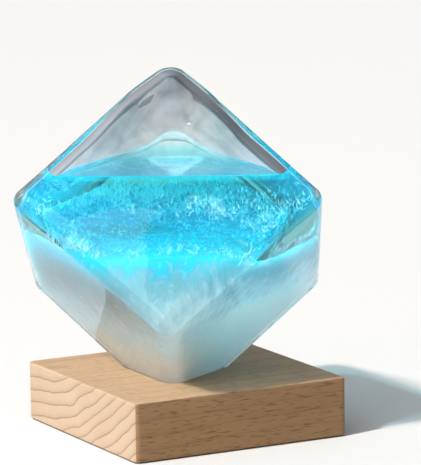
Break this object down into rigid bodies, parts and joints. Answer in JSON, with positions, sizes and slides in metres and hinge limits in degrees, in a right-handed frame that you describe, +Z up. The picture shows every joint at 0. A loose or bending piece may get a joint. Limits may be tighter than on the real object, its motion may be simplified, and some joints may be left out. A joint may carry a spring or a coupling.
{
  "type": "storm glass",
  "caption": "Sealed clear glass cube standing on one corner in a square wooden block, part filled with blue solution and white crystals.",
  "frame": {"origin": "centre of the wooden block's footprint, at table level", "axes": "+Z up; X and Y along the block's sides, X along the wood's grain"},
  "size_m": [0.1236, 0.1086, 0.1378],
  "materials": {
    "beech": "satin",
    "pad_rubber": "matte",
    "clear_glass": "polished",
    "silicone": "satin",
    "resin": "gloss",
    "blue_solution": "polished",
    "loose_crystal": "satin",
    "packed_crystal": "satin"
  },
  "bodies": {
    "base": {"wooden_base": "beech", "foot_pad_front_left": "pad_rubber", "foot_pad_front_right": "pad_rubber", "foot_pad_back_right": "pad_rubber", "foot_pad_back_left": "pad_rubber"},
    "vessel": {"glass_vessel": "clear_glass", "fill_stopper": "silicone", "stopper_seal": "resin", "storm_solution": "blue_solution", "crystal_fronds": "loose_crystal", "settled_crystals": "packed_crystal"}
  },
  "joints": [
    {"name": "vessel_lift", "type": "slide", "parent": "base", "child": "vessel", "axis": [0, 0, 1], "range_m": [0, 0.045]}
  ]
}
